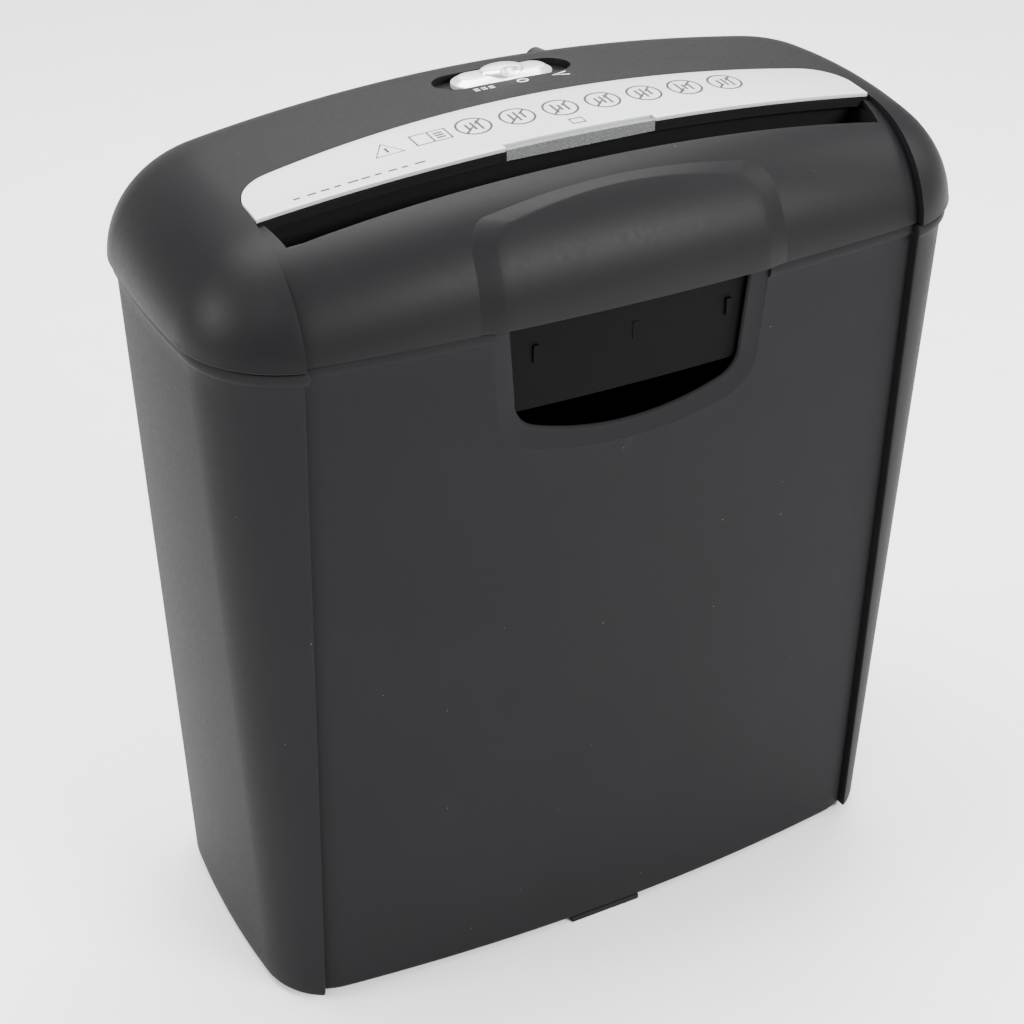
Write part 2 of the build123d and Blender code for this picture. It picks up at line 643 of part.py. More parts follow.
def motor_end_cap():
    cap = round_x(MOTOR[0], MOTOR[1], MOTOR_R, (MOTOR_CAP_X, MOTOR_TAIL_X))
    cap -= round_x(MOTOR[0], MOTOR[1], MOTOR_R - 2.5, (MOTOR_CAP_X + 2.5, MOTOR_TAIL_X + 1))
    cap += round_x(MOTOR[0], MOTOR[1], 5.0, (MOTOR_CAP_X - 2, MOTOR_CAP_X + 3.5))
    for turn in (-1, 1):
        lug = (MOTOR[0] + turn * 9.0 - 1.5, MOTOR[0] + turn * 9.0 + 1.5)
        cap += block((MOTOR_CAP_X - 5, MOTOR_CAP_X + 1), lug, (MOTOR[1] - 0.4, MOTOR[1] + 0.4))
    return cap - round_x(MOTOR[0], MOTOR[1], MOTOR_SHAFT_R + RUN_FIT, (MOTOR_CAP_X - 3, MOTOR_TAIL_X))


def motor_brushes():
    brushes = []
    for turn in (-1, 1):
        y = sorted((MOTOR[0] + turn * 5.5, MOTOR[0] + turn * 11.0))
        brushes.append(block((52.5, 56.5), y, (MOTOR[1] - 1.5, MOTOR[1] + 1.5)))
    return brushes


def motor_screws():
    screws = []
    for turn in (-1, 1):
        y = MOTOR[0] + turn * 11.0
        screws.append(round_x(y, MOTOR[1], 1.25, (MOTOR_FACE_X - 3, PLATE_OUT))
                      + round_x(y, MOTOR[1], 2.4, (PLATE_OUT, PLATE_OUT + 1.6)))
    return screws


def motor_shaft():
    return round_x(MOTOR[0], MOTOR[1], MOTOR_SHAFT_R, (MOTOR_CAP_X - 1, 128.4))


def motor_armature():
    core = ring_x(MOTOR, 9.9, MOTOR_SHAFT_R, (60, 96))
    for k in range(6):
        turn = 2 * pi * k / 6
        core -= round_x(MOTOR[0] + 8.6 * cos(turn), MOTOR[1] + 8.6 * sin(turn), 1.9, (59, 97))
    return core


def motor_commutator():
    return ring_x(MOTOR, 5.0, MOTOR_SHAFT_R, (51.8, 58.6))


def motor_pinion():
    body = gear(MOTOR, PINION, heading(MOTOR, FIRST) + pi / PINION[0], LAYER_C)
    return body - round_x(MOTOR[0], MOTOR[1], MOTOR_SHAFT_R, (120, 130))


# ---------------------------------------------------------------- electrics

def control_board():
    board = block(BOARD_X, BOARD_Y, (BOARD_Z, BOARD_Z + BOARD_T))
    for x in (BOARD_X[0] + 5, BOARD_X[1] - 5):
        for y in (BOARD_Y[0] + 5, BOARD_Y[1] - 5):
            board -= round_z(x, y, 1.6, (BOARD_Z - 1, BOARD_Z + 3))
    return board


def board_screws():
    top = BOARD_Z + BOARD_T
    screws = []
    for x in (BOARD_X[0] + 5, BOARD_X[1] - 5):
        for y in (BOARD_Y[0] + 5, BOARD_Y[1] - 5):
            screws.append(round_z(x, y, 1.25, (BOARD_Z - 8, top)) + round_z(x, y, 2.6, (top, top + 1.8)))
    return screws


def on_board(x, y, height):
    top = BOARD_Z + BOARD_T
    return block(x, y, (top, top + height))


def board_capacitor():
    return round_z(-72, 44, 7.0, (BOARD_Z + BOARD_T, BOARD_Z + BOARD_T + 20))


def board_terminals():
    strip = on_board((-56, -36), (44, 52), 9.0)
    for k in range(3):
        strip -= round_z(FIRST_TERMINAL_X + TERMINAL_PITCH * k, 48, 1.6, (BOARD_Z + 7, BOARD_Z + 12))
    return strip


def thermal_cutout():
    """The cut-out that stops an overheated motor, strapped to its can."""
    low = MOTOR[1] + MOTOR_R
    return block((70, 84), (MOTOR[0] - 4, MOTOR[0] + 4), (low, low + 4.0))


def lead(points, radius, bend):
    path = FilletPolyline(*points, radius=bend)
    start = Plane(origin=points[0], z_dir=Vector(*points[1]) - Vector(*points[0]))
    return sweep(start * Circle(radius), path=path)


def motor_leads():
    leads = []
    for k, turn in enumerate((-1, 1)):
        y = MOTOR[0] + turn * 9.0
        end = FIRST_TERMINAL_X + TERMINAL_PITCH * k
        leads.append(lead([(MOTOR_CAP_X - 5, y, MOTOR[1]), (6, y, MOTOR[1] + 4), (-15, 48, 285 + 4 * k),
                           (end, 48, 289 + 4 * k), (end, 48, BOARD_Z + 9.0)], 0.9, 4.5))
    return leads


def switch_leads():
    leads = []
    for k, x in enumerate((-12, 12)):
        end_x, end_y, level = -60 - 12 * k, 24 - 4 * k, 278 - 4 * k
        leads.append(lead([(SWITCH_X + x, SWITCH_Y, 288), (SWITCH_X + x, SWITCH_Y, level),
                           (end_x, end_y, level), (end_x, end_y, BOARD_Z + BOARD_T)], 0.8, 3.5))
    return leads


def paper_lever():
    half = 1.5
    arm = sheet_x([(LEVER_Y, LEVER_Z + 2.4), (LEVER_Y - 15.5, LEVER_Z - 0.6), (LEVER_Y - 15.5, LEVER_Z - 3.0),
                   (LEVER_Y, LEVER_Z - 2.4)], (-half, half))
    tail = sheet_x([(LEVER_Y, LEVER_Z - 2.0), (LEVER_Y + 9.0, LEVER_Z + 1.4), (LEVER_Y + 9.0, LEVER_Z + 3.8),
                    (LEVER_Y, LEVER_Z + 2.4)], (-half, half))
    body = arm + tail + round_x(LEVER_Y, LEVER_Z, 3.0, (-half, half))
    return body - round_x(LEVER_Y, LEVER_Z, PIN_R + RUN_FIT, (-5, 5))


def lever_pin():
    return round_x(LEVER_Y, LEVER_Z, PIN_R, (-6.6, 6.6))


def lever_spring():
    return ring_x((LEVER_Y, LEVER_Z), 2.6, PIN_R, (1.9, 3.8))


def paper_switch():
    body = block((-3.2, 3.2), (-14, 3), (LEVER_Z + 8.4, LEVER_Z + 13.6))
    return body + block((-1.2, 1.2), (-8.5, -6.5), (LEVER_Z + 7.6, LEVER_Z + 9))


def interlock_switch():
    body = block((PLUNGER_X - 3.2, PLUNGER_X + 3.2), (6, 34), (INTERLOCK_LOW_Z, INTERLOCK_LOW_Z + 10))
    for y in (10, 20, 30):
        body += block((PLUNGER_X - 0.4, PLUNGER_X + 0.4), (y - 1.2, y + 1.2), (INTERLOCK_LOW_Z + 9, 268))
    return body


def interlock_plunger():
    return round_z(PLUNGER_X, PLUNGER_Y, PLUNGER_R, (PLUNGER_LOW_Z, 248)) \
        + round_z(PLUNGER_X, PLUNGER_Y, 4.2, (PLUNGER_FLANGE_Z, PLUNGER_FLANGE_Z + 1.5))


def interlock_spring():
    low = PLUNGER_FLANGE_Z + 2.0
    wire = 0.35
    turns = Pos(PLUNGER_X, PLUNGER_Y, low) * Helix(pitch=2.4, height=INTERLOCK_LOW_Z - low - 0.5, radius=3.4)
    start = Plane(origin=turns @ 0, z_dir=turns % 0)
    return sweep(start * Circle(wire), path=turns)


# ---------------------------------------------------------------- build

def save(name, shape):
    """Write one node. A list is a group of separate solids."""
    if isinstance(shape, list):
        shape = Compound(children=[s for item in shape for s in item.solids()])
    export_step(shape, f"parts/{name}.step")


def main():
    front_sync = heading(FRONT, REAR) + pi / SYNC_GEAR[0]
    nodes = {
        "bin_shell": bin_shell(),
        "bin_feet": bin_feet(),
        "head_cover": head_cover(),
        "control_panel": control_panel(),
        "sensor_cover": sensor_cover(),
        "switch_knob": switch_knob(),
        "switch_body": switch_body(),
        "throat_guide": throat_guide(),
        "cable_gland": cable_gland(),
        "head_base": head_base(),
        "casing_screws": casing_screws(),
        "frame_plate_left": frame_plate(-1),
        "frame_plate_right": frame_plate(1),
        "tie_rods": tie_rods(),
        "shaft_bushes_left": shaft_bushes(-1),
        "shaft_bushes_right": shaft_bushes(1),
        "cutter_shaft_front": cutter_shaft(FRONT_Y, -122.0, 116.0),
        "cutter_shaft_rear": cutter_shaft(REAR_Y, -122.0, 120.3),
        "cutter_discs_front": cutter_discs(FRONT_Y, 0),
        "cutter_discs_rear": cutter_discs(REAR_Y, 1),
        "cutter_spacers_front": cutter_spacers(FRONT_Y, 0),
        "cutter_spacers_rear": cutter_spacers(REAR_Y, 1),
        "stripper_comb_front": stripper_comb(FRONT_Y, -1, 0),
        "stripper_comb_rear": stripper_comb(REAR_Y, 1, 1),
        "sync_gear_front": sync_gear(FRONT, front_sync),
        "sync_gear_rear": sync_gear(REAR, heading(REAR, FRONT)),
        "shaft_clips_front": [ring_x(FRONT, 5.5, JOURNAL_R, (-121.2, -120.4)),
                              ring_x(FRONT, 5.5, JOURNAL_R, (114.6, 115.4))],
        "shaft_clips_rear": [ring_x(REAR, 5.5, JOURNAL_R, (-121.2, -120.4)),
                             ring_x(REAR, 5.4, JOURNAL_R, (119.6, 120.1))],
        "output_gear": output_gear(),
        "second_gear": second_gear(),
        "first_gear": first_gear(),
        "gear_axles": gear_axles(),
        "axle_clips": axle_clips(),
        "motor_can": motor_can(),
        "motor_magnets": motor_magnets(),
        "motor_end_cap": motor_end_cap(),
        "motor_brushes": motor_brushes(),
        "motor_screws": motor_screws(),
        "motor_shaft": motor_shaft(),
        "motor_armature": motor_armature(),
        "motor_commutator": motor_commutator(),
        "motor_pinion": motor_pinion(),
        "thermal_cutout": thermal_cutout(),
        "control_board": control_board(),
        "board_screws": board_screws(),
        "board_relay": on_board((-92, -75), (20.5, 35.5), 15.0),
        "board_capacitor": board_capacitor(),
        "board_rectifier": on_board((-55, -37), (20, 25), 9.0),
        "board_terminals": board_terminals(),
        "motor_leads": motor_leads(),
        "switch_leads": switch_leads(),
        "paper_lever": paper_lever(),
        "lever_pin": lever_pin(),
        "lever_spring": lever_spring(),
        "paper_switch": paper_switch(),
        "interlock_switch": interlock_switch(),
        "interlock_plunger": interlock_plunger(),
        "interlock_spring": interlock_spring(),
    }
    for name, shape in nodes.items():
        save(name, shape)
    print(len(nodes), "nodes")
    for center in (REAR, SECOND, FIRST, MOTOR):
        print("gear centre", [round(value, 4) for value in center])


main()
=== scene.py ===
"""Looks of the strip-cut paper shredder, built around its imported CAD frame."""

import json
from math import acos, asin, atan2, cos, hypot, pi, radians, sin, sqrt

import bmesh
import bpy
from mathutils import Matrix, Vector


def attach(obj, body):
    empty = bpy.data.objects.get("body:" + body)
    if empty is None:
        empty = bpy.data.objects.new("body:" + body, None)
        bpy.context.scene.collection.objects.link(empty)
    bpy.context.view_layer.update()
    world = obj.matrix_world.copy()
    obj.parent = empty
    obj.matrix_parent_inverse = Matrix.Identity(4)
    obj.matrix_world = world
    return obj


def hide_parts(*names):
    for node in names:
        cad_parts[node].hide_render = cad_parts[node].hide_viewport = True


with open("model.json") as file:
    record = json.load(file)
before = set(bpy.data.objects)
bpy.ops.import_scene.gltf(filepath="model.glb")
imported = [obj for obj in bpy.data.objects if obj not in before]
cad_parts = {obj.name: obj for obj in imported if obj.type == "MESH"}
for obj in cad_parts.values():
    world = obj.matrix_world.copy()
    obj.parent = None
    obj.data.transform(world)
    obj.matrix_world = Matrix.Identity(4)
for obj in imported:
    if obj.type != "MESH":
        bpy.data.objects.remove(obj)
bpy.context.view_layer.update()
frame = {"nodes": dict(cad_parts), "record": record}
MM = 0.001

# The CAD model's own sizes in millimetres, repeated here for the pieces that are built finer than its mesh.
FRONT_SAG, SIDE_SAG, CORNER_R, WALL = 9.5, 4.5, 38.0, 2.5
HEAD_HALF_W, HEAD_HALF_D, HEAD_LOW_Z, HEAD_TOP_Z = 144.0, 72.0, 270.0, 313.0
ARCH_R, CROWN_R, CROWN_Y, SHOULDER_R = 890.0, 420.0, 5.0, 31.0
BIN_TOP_Z, BIN_TOP_HALF, BIN_LOW_HALF, FOOT_H = 269.6, (141.5, 70.5), (133.0, 67.5), 2.0
PANEL_STEP, HEAD_STEP, HEAD_DROP = 3.8, 3.0, 1.5
STEP_HALF_TOP, STEP_HALF_LOW, RIM_PROUD = 113.6, 116.5, 1.2
SLOT_BACK_Y, SLOT_FRONT_Y, SLOT_HALF_BACK, SLOT_HALF_FRONT = -28.4, -41.5, 111.0, 108.5
PANEL_HALF, PANEL_BACK_Y, PANEL_PROUD, PANEL_DEEP = 113.0, 4.6, 0.4, 0.9
NOTCH_HALF, NOTCH_DEEP, NOTCH_LOW_Z = 27.6, 2.5, 307.0
SWITCH_X, SWITCH_Y, RECESS_L, RECESS_W, RECESS_Z = 0.5, 29.0, 52.0, 16.0, 309.0
RECESS_WALL, STEM_SLOT_HALF = 2.0, (11.0, 3.0)
KNOB_L, KNOB_W, KNOB_LOW_Z, STEM_HALF = 38.0, 13.0, 309.5, (4.0, 2.2)
KNOB_DOME_HALF = (8.2, 5.2)
GLAND_X, GLAND_Z, GLAND_HOLE_R = 48.0, 288.5, 7.0
CUT_HALF_TOP, CUT_HALF_LOW, CUT_SIDE_LOW_Z, CUT_LOW_Z, CUT_CORNER_R = 45.6, 42.0, 233.0, 224.4, 11.0
BEZEL, BEZEL_DEEP = 6.5, 1.3
RAIL_HALF = 15.0
PLUNGER_Y, RIB_HALF = 20.0, 2.0
PAD_PROUD, PAD_WALL = 1.4, 0.8
HIGH_Z = 330.0                 # above the whole cover, where tools that cut downwards begin


# ---------------------------------------------------------------- mesh helpers

def make(name, verts, faces, smooth_deg=40.0):
    """A mesh object from millimetre points, smooth except at edges sharper than smooth_deg."""
    mesh = bpy.data.meshes.new(name)
    mesh.from_pydata([Vector(v) * MM for v in verts], [], faces)
    bm = bmesh.new()
    bm.from_mesh(mesh)
    bmesh.ops.remove_doubles(bm, verts=bm.verts, dist=1e-6)
    bmesh.ops.recalc_face_normals(bm, faces=bm.faces)
    bm.to_mesh(mesh)
    bm.free()
    obj = bpy.data.objects.new(name, mesh)
    bpy.context.scene.collection.objects.link(obj)
    soften(obj, smooth_deg)
    return obj


def soften(obj, smooth_deg):
    mesh = obj.data
    mesh.shade_smooth()
    mesh.set_sharp_from_angle(angle=radians(smooth_deg))


def stack(rings, close_high=True):
    """Vertices and faces of a skin through closed rings of equal length."""
    count = len(rings[0])
    verts = [p for ring in rings for p in ring]
    faces = []
    for k in range(len(rings) - 1):
        a, b = k * count, (k + 1) * count
        for i in range(count):
            j = (i + 1) % count
            faces.append((a + i, a + j, b + j, b + i))
    faces.append(tuple(reversed(range(count))))
    if close_high:
        top = (len(rings) - 1) * count
        faces.append(tuple(range(top, top + count)))
    return verts, faces


def modify(obj, kind, **settings):
    """Adds a modifier and applies it."""
    mod = obj.modifiers.new(kind, kind)
    for key, value in settings.items():
        setattr(mod, key, value)
    bpy.context.view_layer.update()
    mesh = bpy.data.meshes.new_from_object(obj.evaluated_get(bpy.context.evaluated_depsgraph_get()))
    obj.modifiers.clear()
    obj.data = mesh
    return obj


def combine(obj, tool, how):
    """Boolean of obj with tool, which is used up."""
    modify(obj, "BOOLEAN", operation=how, solver="EXACT", object=tool)
    bpy.data.objects.remove(tool)
    return obj


def round_edges(obj, width, segments=2, angle=35.0):
    modify(obj, "BEVEL", width=width * MM, segments=segments, limit_method="ANGLE",
           angle_limit=radians(angle), miter_outer="MITER_ARC", use_clamp_overlap=True)
    soften(obj, 40.0)
    return obj


def steps(low, high, count):
    """Evenly spaced values from low to high, both included."""
    return [low + (high - low) * i / count for i in range(count + 1)]


# ---------------------------------------------------------------- shared forms

def arc_radius(half_chord, sag):
    """Radius of the arc that rises by sag over the chord."""
    return (half_chord ** 2 + sag ** 2) / (2 * sag)


def plan_arcs(half_w, half_d):
    """Centres and radii of the plan's front arc, side arc and round corner, in its +X, -Y quarter."""
    radius = CORNER_R - (HEAD_HALF_W - half_w)
    front_r = arc_radius(half_w - SIDE_SAG, FRONT_SAG)
    side_r = arc_radius(half_d - FRONT_SAG, SIDE_SAG)
    front, side = (0.0, front_r - half_d), (half_w - side_r, 0.0)
    a, b = front_r - radius, side_r - radius
    dx, dy = side[0] - front[0], side[1] - front[1]
    gap = hypot(dx, dy)
    along = (a * a - b * b + gap * gap) / (2 * gap)
    across = sqrt(max(a * a - along * along, 0.0))
    ux, uy = dx / gap, dy / gap
    choices = [(front[0] + along * ux + s * across * uy, front[1] + along * uy - s * across * ux)
               for s in (-1, 1)]
    corner = max(choices, key=lambda p: p[0] - p[1])
    return front, front_r, side, side_r, corner, radius


def quarter(half_w, half_d, start_x=0.0, counts=(56, 22, 22)):
    """Points of the plan from x = start_x on the front, round the corner, to the middle of the side."""
    front, front_r, side, side_r, corner, radius = plan_arcs(half_w, half_d)
    turn_a = atan2(corner[1] - front[1], corner[0] - front[0])
    turn_b = atan2(corner[1] - side[1], corner[0] - side[0])
    points = []
    low = -pi / 2 + asin(start_x / front_r)
    if low < turn_a:
        points += [(front[0] + front_r * cos(t), front[1] + front_r * sin(t))
                   for t in steps(low, turn_a, counts[0])]
        low_corner = turn_a
    else:
        low_corner = -acos((start_x - corner[0]) / radius)
        points.append((corner[0] + radius * cos(low_corner), corner[1] + radius * sin(low_corner)))
    points += [(corner[0] + radius * cos(t), corner[1] + radius * sin(t))
               for t in steps(low_corner, turn_b, counts[1])[1:]]
    points += [(side[0] + side_r * cos(t), side[1] + side_r * sin(t))
               for t in steps(turn_b, 0.0, counts[2])[1:]]
    return points


def front_y(half_w, half_d, x):
    """The y of the plan's front at x."""
    front, front_r, _, _, corner, radius = plan_arcs(half_w, half_d)
    if x <= corner[0] * front_r / (front_r - radius):
        return front[1] - sqrt(front_r ** 2 - x * x)
    return corner[1] - sqrt(radius ** 2 - (x - corner[0]) ** 2)


def mirror_loop(front_quarter, back_quarter):
    """A closed loop from its two +X quarters, each given from the middle of front or back to the side."""
    right = front_quarter + [(x, -y) for x, y in reversed(back_quarter[:-1])]
    return right + [(-x, y) for x, y in reversed(right[1:-1])]


def plan(half_w, half_d, counts=(56, 22, 22)):
    """The closed plan of the head with these half-sizes."""
    points = quarter(half_w, half_d, counts=counts)
    return mirror_loop(points, points)


def crown_z(x, y):
    """Height of the arched top surface."""
    fall = CROWN_R - sqrt(CROWN_R ** 2 - (y - CROWN_Y) ** 2)
    return HEAD_TOP_Z - ARCH_R + sqrt((ARCH_R - fall) ** 2 - x * x)


def dome(name, inset, low, shift=(0.0, 0.0), counts=(56, 22, 22), turns=24):
    """The head's outer form, drawn in by inset, as a closed mesh. shift moves it back and down."""
    radius = SHOULDER_R - inset
    rings = []

    def ring(d, drop):
        loop = plan(HEAD_HALF_W - inset - d, HEAD_HALF_D - inset - d, counts)
        return [(x, y + shift[0], max(crown_z(x, y) - inset - drop, low + 0.7) - shift[1]) for x, y in loop]

    edge = plan(HEAD_HALF_W - inset, HEAD_HALF_D - inset, counts)
    lip = plan(HEAD_HALF_W - inset - 0.5, HEAD_HALF_D - inset - 0.5, counts)
    rings.append([(x, y + shift[0], low - shift[1]) for x, y in lip])
    rings.append([(x, y + shift[0], low + 0.25 - shift[1]) for x, y in edge])
    for turn in steps(0.0, pi / 2, turns):
        rings.append(ring(radius * (1 - cos(turn)), radius * (1 - sin(turn))))
    last = plan(HEAD_HALF_W - inset - radius, HEAD_HALF_D - inset - radius, counts)
    for share in steps(0.0, 1.0, 12)[1:]:
        loop = []
        for x, y in last:
            spine = max(-72.0, min(72.0, x))
            px, py = x + (spine - x) * share, y * (1 - share)
            loop.append((px, py + shift[0], crown_z(px, py) - inset - shift[1]))
        rings.append(loop)
    verts, faces = stack(rings, close_high=False)
    return make(name, verts, faces)


def prism(name, outline, axis, low, high):
    """A straight prism on a closed outline. axis is the axis it runs along."""
    places = {"X": lambda a, b, c: (c, a, b), "Y": lambda a, b, c: (a, c, b), "Z": lambda a, b, c: (a, b, c)}
    place = places[axis]
    return make(name, *stack([[place(a, b, c) for a, b in outline] for c in (low, high)]))


def rectangle(x, y):
    return [(x[0], y[0]), (x[1], y[0]), (x[1], y[1]), (x[0], y[1])]


def oval(length, width, count=20):
    """The plan of the switch and its recess: straight sides with half-elliptical ends."""
    end, half = 0.56 * width, width / 2
    straight = length / 2 - end
    right = [(straight + end * cos(t), half * sin(t)) for t in steps(-pi / 2, pi / 2, count)]
    left = [(-x, -y) for x, y in right]
    return [(SWITCH_X + x, SWITCH_Y + y) for x, y in right + left]


def around_switch(half):
    """A rectangle about the middle of the switch, from its two half-sizes."""
    return rectangle((SWITCH_X - half[0], SWITCH_X + half[0]), (SWITCH_Y - half[1], SWITCH_Y + half[1]))


def field(name, xs, front, back, top, low):
    """A closed slab between y = front(x) and back(x) and between the heights top(x, y) and low(x, y)."""
    rows = 10
    verts, faces = [], []
    for height in (top, low):
        for x in xs:
            for y in steps(front(x), back(x), rows):
                verts.append((x, y, height(x, y)))
    across, total = rows + 1, len(xs) * (rows + 1)
    for i in range(len(xs) - 1):
        for j in range(rows):
            a = i * across + j
            faces.append((a, a + across, a + across + 1, a + 1))
            faces.append((total + a, total + a + 1, total + a + across + 1, total + a + across))
        for j in (0, rows):
            a = i * across + j
            faces.append((a, a + across, total + a + across, total + a))
    for i in (0, len(xs) - 1):
        for j in range(rows):
            a = i * across + j
            faces.append((a, a + 1, total + a + 1, total + a))
    return make(name, verts, faces)


def panel_back(grow):
    """The rear edge of the silver panel as y(x)."""
    side = PANEL_HALF - 13.0
    rise = PANEL_BACK_Y + 4.0
    big = arc_radius(side, rise)

    def through(p, q, r):
        """Centre and radius of the circle through three points."""
        ax, ay, bx, by = q[0] - p[0], q[1] - p[1], r[0] - p[0], r[1] - p[1]
        d = 2 * (ax * by - ay * bx)
        cx = (by * (ax * ax + ay * ay) - ay * (bx * bx + by * by)) / d
        cy = (ax * (bx * bx + by * by) - bx * (ax * ax + ay * ay)) / d
        return p[0] + cx, p[1] + cy, hypot(cx, cy)

    end = PANEL_HALF + grow
    cx, cy, radius = through((end, SLOT_BACK_Y + 7.2 - grow), (end - 3.6, -9.3 + grow), (side, -4.0 + grow))

    def back(x):
        x = abs(x)
        if x <= side:
            return PANEL_BACK_Y + grow - big + sqrt(big * big - x * x)
        return cy + sqrt(max(radius ** 2 - (x - cx) ** 2, 0.0))
    return back


def panel_columns(grow):
    """The x values of the panel's columns, closer together towards its round ends."""
    end, side = PANEL_HALF + grow, PANEL_HALF - 13.0
    tail = [side + (end - side) * sin(t) for t in steps(0.0, pi / 2, 14)]
    return [-x for x in reversed(tail)] + steps(-side, side, 80)[1:-1] + tail


# ---------------------------------------------------------------- materials

def material(name, base, rough, metallic=0.0, grain=0.35, spread=0.12, bump=0.1, specks=False, edge=0.0,
             coat=0.0, sheen=0.0, aniso=0.0, stretch=(1.0, 1.0, 1.0), gloss=0.5, ior=1.5):
    """Colour and roughness varied by noise, a fine bump, and if asked sparse dust specks and a painted edge
    highlight (colour lightened where the mesh is pointy).
    """
    mat = bpy.data.materials.new(name)
    mat.use_nodes = True
    nodes, links = mat.node_tree.nodes, mat.node_tree.links
    shader = nodes["Principled BSDF"]
    shader.inputs["Metallic"].default_value = metallic
    shader.inputs["Specular IOR Level"].default_value = gloss
    shader.inputs["IOR"].default_value = ior
    shader.inputs["Coat Weight"].default_value = coat
    shader.inputs["Coat Roughness"].default_value = 0.25
    shader.inputs["Sheen Weight"].default_value = sheen
    shader.inputs["Anisotropic"].default_value = aniso
    place = nodes.new("ShaderNodeTexCoord")
    scale = nodes.new("ShaderNodeMapping")
    scale.inputs["Scale"].default_value = stretch
    links.new(place.outputs["Object"], scale.inputs["Vector"])

    def noise(size, detail=3.0):
        node = nodes.new("ShaderNodeTexNoise")
        node.inputs["Scale"].default_value = 1.0 / (size * MM)
        node.inputs["Detail"].default_value = detail
        links.new(scale.outputs["Vector"], node.inputs["Vector"])
        return node.outputs["Fac"]

    def ranged(source, low, high):
        node = nodes.new("ShaderNodeMapRange")
        node.inputs["From Min"].default_value, node.inputs["From Max"].default_value = 0.3, 0.7
        node.inputs["To Min"].default_value, node.inputs["To Max"].default_value = low, high
        links.new(source, node.inputs["Value"])
        return node.outputs["Result"]

    def mix(factor, a, b):
        node = nodes.new("ShaderNodeMix")
        node.data_type = "RGBA"
        links.new(factor, node.inputs[0])
        for socket, value in ((node.inputs[6], a), (node.inputs[7], b)):
            if isinstance(value, tuple):
                socket.default_value = value
            else:
                links.new(value, socket)
        return node.outputs[2]

    fine = noise(grain)
    broad = noise(38.0, 2.0)
    darker = tuple(c * (1 - spread) for c in base) + (1.0,)
    lighter = tuple(min(c * (1 + spread), 1.0) for c in base) + (1.0,)
    colour = mix(ranged(fine, 0.0, 1.0), darker, lighter)
    tint = tuple(min(c * 1.16, 1.0) for c in base) + (1.0,)
    colour = mix(ranged(broad, 0.0, 0.35), colour, tint)
    if specks:
        dust = nodes.new("ShaderNodeTexVoronoi")
        dust.inputs["Scale"].default_value = 1.0 / (11.0 * MM)
        links.new(place.outputs["Object"], dust.inputs["Vector"])
        dot = nodes.new("ShaderNodeMath")
        dot.operation = "LESS_THAN"
        links.new(dust.outputs["Distance"], dot.inputs[0])
        dot.inputs[1].default_value = 0.016
        colour = mix(dot.outputs[0], colour, (0.16, 0.16, 0.16, 1.0))
    # Painted highlight: the base colour is lightened where the mesh is pointy, standing in for the light
    # caught by rounded edges.
    if edge:
        edge_highlight_geometry = nodes.new("ShaderNodeNewGeometry")
        rim = nodes.new("ShaderNodeMapRange")
        rim.inputs["From Min"].default_value, rim.inputs["From Max"].default_value = 0.52, 0.62
        rim.inputs["To Max"].default_value = edge
        links.new(edge_highlight_geometry.outputs["Pointiness"], rim.inputs["Value"])
        colour = mix(rim.outputs["Result"], colour, tuple(min(c * 2.4, 1.0) for c in base) + (1.0,))
    links.new(colour, shader.inputs["Base Color"])
    links.new(ranged(noise(1.8), rough - 0.02, rough + 0.03), shader.inputs["Roughness"])
    relief = nodes.new("ShaderNodeBump")
    relief.inputs["Strength"].default_value = bump
    relief.inputs["Distance"].default_value = grain * 0.3 * MM
    links.new(fine, relief.inputs["Height"])
    links.new(relief.outputs["Normal"], shader.inputs["Normal"])
    return mat
